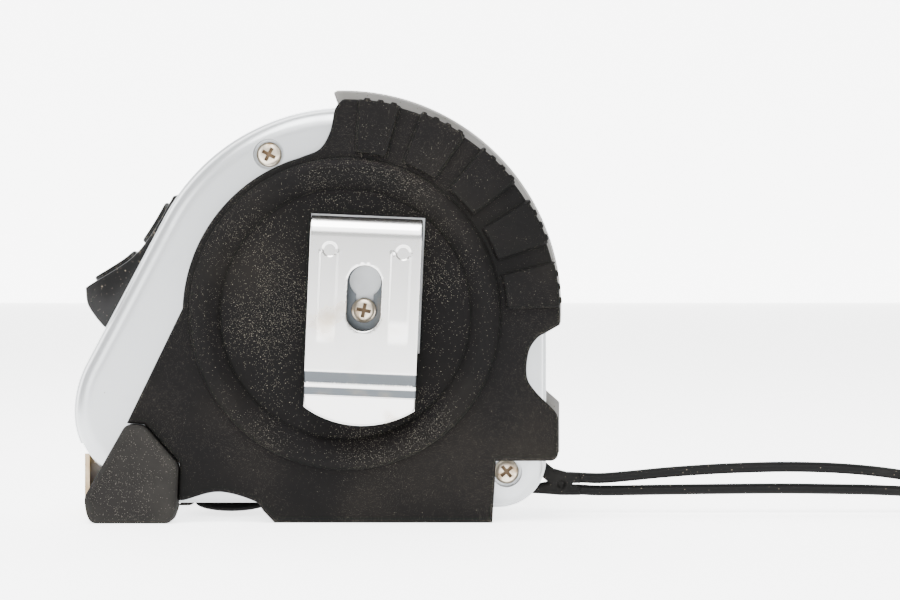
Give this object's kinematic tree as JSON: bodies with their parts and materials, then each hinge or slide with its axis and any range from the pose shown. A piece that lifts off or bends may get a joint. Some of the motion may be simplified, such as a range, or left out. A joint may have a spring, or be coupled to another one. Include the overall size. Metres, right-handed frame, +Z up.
{
  "type": "tape measure",
  "caption": "Retractable pocket tape measure with rubber grips, thumb lock, finger brake, belt clip and wrist strap.",
  "frame": {"origin": "on the surface the case stands on, straight under the spindle, on the parting plane between the case halves", "axes": "-X towards the mouth and the hook, +Z up, the belt clip on the -Y side, the spindle along Y"},
  "size_m": [0.2049, 0.0401, 0.0727],
  "materials": {
    "case_silver": "satin silver paint",
    "grip_rubber": "matte, dusty",
    "black_plastic": "satin",
    "spine_grey": "warm grey, matte",
    "white_plastic": "natural moulded",
    "clip_steel": "bright, worn",
    "spring_steel": "blued grey",
    "blade_paint": "yellow lacquer",
    "hook_steel": "dull, tarnished",
    "screw_metal": "nickel, worn warm",
    "strap_plastic": "satin, worn"
  },
  "bodies": {
    "case": {"case_clip_side": "case_silver", "case_plain_side": "case_silver", "mouth_lip": "black_plastic", "grip_clip_side": "grip_rubber", "grip_plain_side": "grip_rubber", "front_foot_clip_side": "grip_rubber", "front_foot_plain_side": "grip_rubber", "spine_upper": "spine_grey", "spine_lower": "spine_grey", "spindle": "black_plastic", "blade_lead": "blade_paint", "brake_spring": "spring_steel", "clip_base": "clip_steel", "clip_screw": "screw_metal", "upper_front_screw": "screw_metal", "rear_lower_screw": "screw_metal", "strap_eye": "strap_plastic", "strap_loop": "strap_plastic"},
    "reel": {"drum": "white_plastic", "recoil_spring": "spring_steel", "blade_coil": "blade_paint"},
    "blade": {"blade_tip": "blade_paint", "hook_rivet_1": "hook_steel", "hook_rivet_2": "hook_steel", "hook_rivet_3": "hook_steel"},
    "hook": {"end_hook": "hook_steel"},
    "lock": {"thumb_lock": "black_plastic", "lock_tongue": "spring_steel"},
    "brake": {"finger_brake": "black_plastic", "brake_pad": "grip_rubber"},
    "clip": {"clip_leg": "clip_steel"}
  },
  "joints": [
    {"name": "reel_spin", "type": "hinge", "parent": "case", "child": "reel", "pos_m": [0, 0, 0.0345], "axis": [0, 1, 0], "range_deg": [0, 16550], "stiffness_Nm_per_rad": 0.0003, "springref_deg": -13178.03},
    {"name": "blade_pull", "type": "slide", "parent": "case", "child": "blade", "axis": [-1, 0, 0], "range_m": [0, 5]},
    {"name": "hook_float", "type": "slide", "parent": "blade", "child": "hook", "axis": [-1, 0, 0], "range_m": [0, 0.0008]},
    {"name": "lock_slide", "type": "slide", "parent": "case", "child": "lock", "axis": [0.4695, 0, 0.8829], "range_m": [0, 0.008]},
    {"name": "brake_press", "type": "slide", "parent": "case", "child": "brake", "axis": [0, 0, 1], "range_m": [0, 0.0014], "stiffness_N_per_m": 300, "springref_m": -0.0004, "deforming": ["brake_spring"]},
    {"name": "clip_flex", "type": "hinge", "parent": "case", "child": "clip", "pos_m": [0.00361, -0.01585, 0.04729], "axis": [-0.9991, 0, 0.0419], "range_deg": [0, 8], "stiffness_Nm_per_rad": 0.5, "springref_deg": -1.15}
  ],
  "couplings": [
    {"joint": "blade_pull", "follows": "reel_spin", "m_per_rad": 0.0173}
  ]
}
